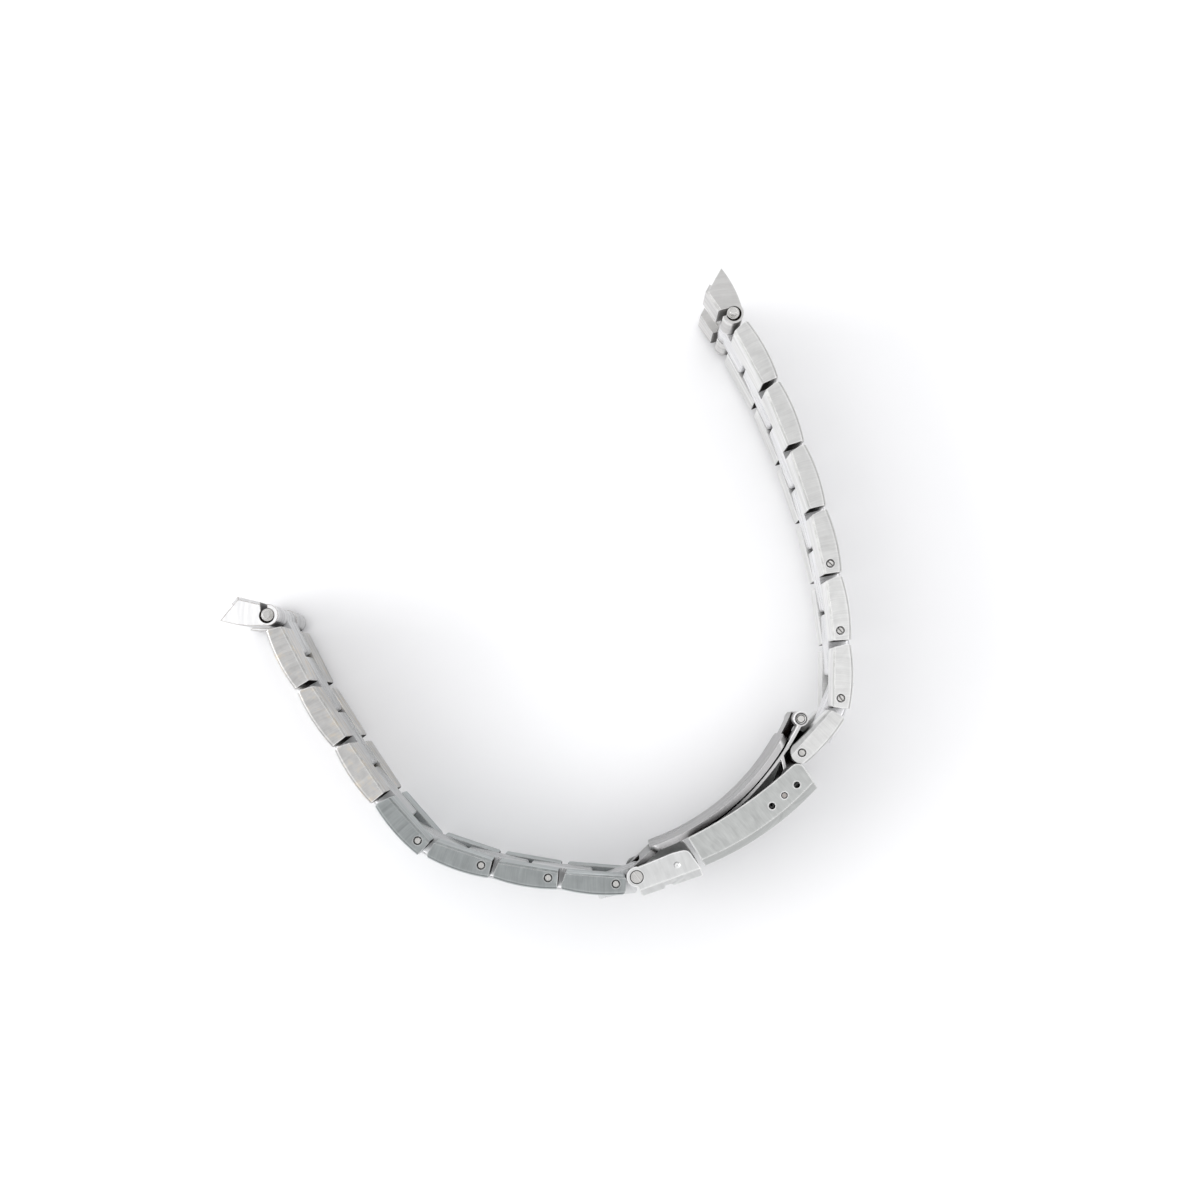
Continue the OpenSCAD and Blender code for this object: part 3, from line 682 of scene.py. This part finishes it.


# %% [markdown]
# ## The steel
# One function makes every steel from its finish. Painted shade in the gaps and round the pins darkens
# its colour. The bands change the gloss, hairlines and the painted gap shade dull it, and the lines'
# height goes through a bump. A metal's reflection darkens just before it gets very bright at a grazing
# view, and the specular tint sets how much.

# %% Make a steel
# The near-black colour of the painted shade in the gaps and round the pins
GAP_SHADE_COLOUR = (0.006, 0.004, 0.003)
SEED_STEP = 3.7
# How much bands, hairlines and the painted gap shade change the roughness
BAND_GLOSS = 0.1
HAIRLINE_GLOSS = 0.12
GAP_SHADE_GLOSS = 0.4
# The lines' height, and a hairline's as a share of it
HAIRLINE_DEPTH = -0.4
LINE_DEPTH = 0.004 * MM


def new_metal(name):
    """A new metal material, its tree, and its shader's inputs."""
    material = bpy.data.materials.new(name)
    material.use_nodes = True
    shader = material.node_tree.nodes["Principled BSDF"]
    shader.inputs["Metallic"].default_value = 1.0
    return material, material.node_tree, shader.inputs


def steel(name, node, look):
    """A brushed steel for one node in its finish."""
    material, tree, shader = new_metal(name)
    middle, heading, wrist_side = place_of(node)
    seed = SEED_STEP * sorted(nodes).index(node)
    lay = add(tree, "ShaderNodeGroup", {
        "Middle": middle, "Heading": heading, "Wrist Side": wrist_side, "Seed": seed,
        "Line Width": look.width * MM, "Line Length": look.length * MM,
        "Face Line Width": look.face * MM, "Lengthwise": look.lengthwise,
        "Slip": look.slip * MM, "Bend": look.bend}, node_tree=brushed).outputs
    worn = add(tree, "ShaderNodeGroup", {"Seed": seed}, node_tree=handled).outputs
    # Painted shade: occlusion darkens the gaps, and rings darken the fine gaps round pins
    sooner = maths(tree, "MAXIMUM", lay["End"], look.grimy)
    dirt = add(tree, "ShaderNodeGroup", {"End": sooner}, node_tree=gap_shading).outputs["Shade"]
    painted_shade = maths(tree, "MULTIPLY", dirt, look.dirt)
    if look.ring:
        painted_shade = maths(tree, "MAXIMUM", painted_shade, ring_of_shade(tree, *look.ring))
    shaded_grey = mixed(tree, painted_shade, grey_of(tree, lay, worn, look), GAP_SHADE_COLOUR)
    tree.links.new(shaded_grey, shader["Base Color"])
    gloss = maths(tree, "MULTIPLY_ADD", lay["Bands"], BAND_GLOSS, look.rough - BAND_GLOSS / 2)
    gloss = maths(tree, "MULTIPLY_ADD", worn["Hairlines"], HAIRLINE_GLOSS, gloss)
    gloss = maths(tree, "MULTIPLY_ADD", dirt, GAP_SHADE_GLOSS, gloss)
    tree.links.new(gloss, shader["Roughness"])
    height = maths(tree, "MULTIPLY_ADD", worn["Hairlines"], HAIRLINE_DEPTH, lay["Lines"])
    bump = add(tree, "ShaderNodeBump", {"Height": height, "Distance": LINE_DEPTH, "Strength": look.relief})
    tree.links.new(bump.outputs["Normal"], shader["Normal"])
    shader["Specular Tint"].default_value = (look.tint, look.tint, look.tint, 1)
    return material


# %% [markdown]
# ## Turned pins and bars
# Pins and bars come from a lathe, so they are brighter and smoother than the plates, with finer
# lines. The plain pins' ends sit in a dark rim of painted shade. The adjusting bar is deep in its hole,
# and its darker tone is painted shade.

# %% Finish the pins and bars
TURNED = dict(width=0.05, relief=0.2, lines=0.08)
finishes = {}
for name in nodes:
    if "pins" in name or name.endswith(("_pin", "_bar")):
        finishes[name] = satin((0.72, 0.71, 0.69), rough=0.24, **TURNED)
for name in ["twelve_pins_7"] + [f"six_pins_{row}" for row in range(1, 8)]:
    finishes[name] = satin((0.62, 0.61, 0.59), rough=0.24, ring=(name, 0.31, 0.5), **TURNED)
finishes["adjusting_bar"] = satin((0.42, 0.39, 0.37), rough=0.3, **TURNED)
finishes["lock_rivet"] = satin((0.60, 0.59, 0.575), rough=0.28, **TURNED)
print("pins and bars:", len(finishes), "nodes")

# %% [markdown]
# ## The rows
# The plates' sides are satin and the centre links finer. The lower rows of the six strand look darker
# and a little green in the photograph, its first rows are stained, and the twelve strand is paler.

# %% Finish the rows
PALE = dict(mottle=0.08, tint=1.0, edge=0.8, reach=0.22)
STAINED = dict(lines=0.13, mottle=0.18, stain=(1.03, 0.96, 0.86), slip=1.6, face_tone=1.35,
               streaks=0.35, edge=0.95, reach=0.24)
# The six strand's lower rows get painted shade: the same steel in a much darker tone
DARKER = dict(lines=0.14, mottle=0.10, face_tone=2.0, streaks=0.35, edge=0.5, reach=0.2)
for row in range(1, 5):
    finishes[f"twelve_outer_{row}"] = satin((0.615, 0.615, 0.605), face_tone=1.25, **PALE)
for row in range(5, 8):
    finishes[f"twelve_outer_{row}"] = satin((0.68, 0.68, 0.67), face_tone=1.2, **PALE)
for row in range(1, 4):
    finishes[f"six_outer_{row}"] = satin((0.56, 0.555, 0.545), **STAINED)
for row in range(4, 8):
    finishes[f"six_outer_{row}"] = satin((0.305, 0.323, 0.323), **DARKER)
CENTRE = dict(rough=0.3, relief=0.35, dirt=0.0)
for name in nodes:
    if name.startswith("twelve_centre"):
        finishes[name] = satin((0.80, 0.80, 0.81), streaks=0.3, tint=1.0, **CENTRE)
    elif name.startswith("six_centre"):
        finishes[name] = satin((0.74, 0.745, 0.75), streaks=0.4, **CENTRE)
print("with the rows:", len(finishes), "nodes")

# %% [markdown]
# ## The clasp
# The blades are smooth sheet that is brushed along its length. The cover has short, dense lines
# across it, and the lock is the brightest piece of the clasp, with a white outline of painted highlight.

# %% Finish the clasp
# The rings round the blade pin and round the lock's rivet are painted shade
BLADE = dict(rough=0.3, face=1.0, relief=0.15, lines=0.1, length=14.0, lengthwise=1.0, streaks=0.25,
             edge=0.5, ring=("blade_pin", 0.5, 0.72))
finishes["short_blade"] = satin((0.62, 0.615, 0.615), grimy=0.2, **BLADE)
finishes["long_blade"] = satin((0.55, 0.545, 0.545), grimy=1.0, **BLADE)
finishes["twelve_connector"] = satin((0.5, 0.5, 0.5), rough=0.3, grimy=1.0)
finishes["clasp_cover"] = satin((0.49, 0.50, 0.49), lines=0.12, grimy=0.8, slip=0.4, bend=15.0,
                                 width=0.12, length=1.4, edge=1.0, reach=0.35)
finishes["flip_lock"] = satin((0.64, 0.645, 0.64), grimy=0.4, slip=0.15, bend=15.0, lines=0.06,
                               length=2.0, edge=1.0, reach=0.35, edge_tone=(0.95, 0.95, 0.94),
                               ring=("lock_rivet", 0.7, 0.84))
print("with the clasp:", len(finishes), "nodes")

# %% [markdown]
# ## The end links' finish
# The six end link is the brightest piece of all and has a brown outline of painted shade along its
# edges. The twelve one is satin. Both have a ring of painted shade in the bore, round the spring bar.

# %% Finish the end links
finishes["six_end_link"] = satin((0.98, 0.98, 0.98), rough=0.33, lines=0.03, mottle=0.02, dirt=0.8,
                                  face_tone=0.8, edge=1.0, edge_tone=(0.27, 0.22, 0.18), reach=0.18,
                                  ring=("six_case_bar", 0.0, 0.93, (-0.08, -0.1)))
finishes["twelve_end_link"] = satin((0.56, 0.555, 0.545), face_tone=1.5, dirt=0.7, edge=0.6,
                                     ring=("twelve_case_bar", 0.0, 0.93, (0.09, -0.08)))
print("with the end links:", len(finishes), "of", len(nodes), "nodes")

# %% [markdown]
# ## Rims
# A worn edge is polished and shows no lines. A plainer steel does for such narrow faces: soft patches
# take it between two tones and change its gloss. The light rim's tones are also a painted highlight,
# and the brown rim's tones are painted shade.

# %% Make the rims
RIM_GLOSS = (0.24, 0.34)


def rim_steel(name, low_tone, high_tone):
    """A plain steel for narrow edges, between two tones."""
    material, tree, shader = new_metal(name)
    patches = add(tree, "ShaderNodeGroup", node_tree=handled).outputs["Patches"]
    tree.links.new(mixed(tree, patches, high_tone, low_tone), shader["Base Color"])
    tree.links.new(ramp(tree, patches, 0.0, 1.0, *RIM_GLOSS), shader["Roughness"])
    return material


# The light rim's tone is a painted highlight, and the brown rim is painted shade
rim = rim_steel("Polished rim with painted highlight", (0.78, 0.78, 0.77), (0.9, 0.9, 0.89))
shaded_rim = rim_steel("Shaded rim", (0.12, 0.095, 0.075), (0.25, 0.21, 0.18))
print("rims:", rim.name, "and", shaded_rim.name)

# %% [markdown]
# ## Steel on every piece
# Each piece has two materials: its own steel, and the rim for the faces that the next step rounds.

# %% Give every piece its steel
shown = {name: end_links.get(name, nodes[name]) for name in sorted(nodes)}
for name, piece in shown.items():
    piece.data.materials.clear()
    piece.data.materials.append(steel("Steel of " + name, name, finishes[name]))
    piece.data.materials.append(shaded_rim if name == "six_end_link" else rim)
print("steels made:", len(bpy.data.materials))

# %% [markdown]
# ## Soft edges
# No edge on a worn bracelet is sharp, and each catches a thin line of light. A Bevel modifier rounds
# the edges without changing the CAD mesh itself. Only edges between faces that meet at more than 30
# degrees are rounded, so that curved faces stay as they are. The CAD mesh comes in loose patches,
# and a Weld modifier joins them first.

# %% Round the edges
# Widths in mm, by a word in the node's name
EDGE_WIDTHS = {"twelve_outer": 0.2, "outer": 0.14, "centre": 0.08, "end_link": 0.1, "cover": 0.13,
               "lock": 0.13, "blade": 0.07}
FINE_EDGE = 0.03
RIM_SLOT = 1
for name, piece in shown.items():
    weld = piece.modifiers.new("Join the CAD mesh", "WELD")
    weld.merge_threshold = 0.0005 * MM
    soft = piece.modifiers.new("Soft edges", "BEVEL")
    soft.width = next((width for word, width in EDGE_WIDTHS.items() if word in name), FINE_EDGE) * MM
    soft.segments = 2
    soft.limit_method = "ANGLE"
    soft.angle_limit = math.radians(30)
    soft.material = RIM_SLOT
print("edges rounded on", len(shown), "pieces")

# %% [markdown]
# ## The table
# The photograph is nearly white, with one soft shadow round the bracelet. A large white sheet lies
# under it. The sheet's own colour makes it pale, and not more light, which would bleach the steel.

# %% Lay the table
TABLE_HALF = 1.5
TABLE_WHITE = (0.945, 0.945, 0.952, 1)
sheet_mesh = bpy.data.meshes.new("Table")
sheet_mesh.from_pydata([(-TABLE_HALF, -TABLE_HALF, 0), (TABLE_HALF, -TABLE_HALF, 0),
                        (TABLE_HALF, TABLE_HALF, 0), (-TABLE_HALF, TABLE_HALF, 0)], [], [(0, 1, 2, 3)])
table_top = bpy.data.objects.new("Table", sheet_mesh)
bpy.context.scene.collection.objects.link(table_top)
white = bpy.data.materials.new("White table")
white.use_nodes = True
painted = white.node_tree.nodes["Principled BSDF"].inputs
painted["Base Color"].default_value = TABLE_WHITE
painted["Roughness"].default_value = 0.6
table_top.data.materials.append(white)
print("table:", 2 * TABLE_HALF, "m wide")

# %% [markdown]
# ## The room
# Steel shows what surrounds it, so the room matters as much as the metal. Most of the light comes
# from a wide pale cloth overhead, a little towards the upper left and dimmer in its middle. The room
# is dim between the cloth and a brighter band lower down. Flat sides then look pale, slanted ones
# darker, and the last turn of an edge bright. Lamps could do this too, but a ramp in the world's
# background gives steel a whole room to show.

# %% Draw the room
CLOTH_SIDE = (-0.10, 0.10, 1.0)
OVERHEAD = 2.2
BLUER = 1.01
# How bright the room is where a direction leans 0, level with the table, to 1, to the cloth's middle
stops = [(0.0, 0.5), (0.1, 0.42), (0.2, 0.16), (0.48, 0.17), (0.6, 0.4), (0.7, 0.62), (0.8, 0.78),
         (0.9, 0.8), (0.935, 0.52), (0.955, 0.38), (1.0, 0.34)]
world = bpy.data.worlds.new("White corner")
bpy.context.scene.world = world
world.use_nodes = True
room = world.node_tree
direction = add(room, "ShaderNodeTexCoord").outputs["Generated"]
height_up = vector_maths(room, "DOT_PRODUCT", direction, Vector(CLOTH_SIDE).normalized())
tones = add(room, "ShaderNodeValToRGB", {0: height_up})
while len(tones.color_ramp.elements) < len(stops):
    tones.color_ramp.elements.new(0.5)
for element, (position, level) in zip(tones.color_ramp.elements, stops):
    element.position = position
    element.color = (level, level, level * BLUER, 1)
room.links.new(tones.outputs[0], room.nodes["Background"].inputs["Color"])
room.nodes["Background"].inputs["Strength"].default_value = OVERHEAD
print("room:", len(stops), "stops of light, strength", OVERHEAD)

# %% [markdown]
# ## The window
# The shadow in the photograph falls to the right, so a little more light comes from the left. A soft
# area lamp gives it, and the view stays at Standard, so that colours render as they are written.

# %% Hang the lamp
WINDOW_AT = Vector((-0.8, -0.1, 0.5))
WINDOW_SIZE = 0.5
WINDOW_WATTS = 2.5
lamp = bpy.data.objects.new("Window side", bpy.data.lights.new("Window side", "AREA"))
lamp.data.size = WINDOW_SIZE
lamp.data.energy = WINDOW_WATTS
lamp.location = WINDOW_AT
lamp.rotation_euler = (-WINDOW_AT).to_track_quat("-Z", "Y").to_euler()
bpy.context.scene.collection.objects.link(lamp)
bpy.context.scene.view_settings.view_transform = "Standard"
print("lamp:", WINDOW_WATTS, "W from", tuple(round(c, 2) for c in WINDOW_AT))
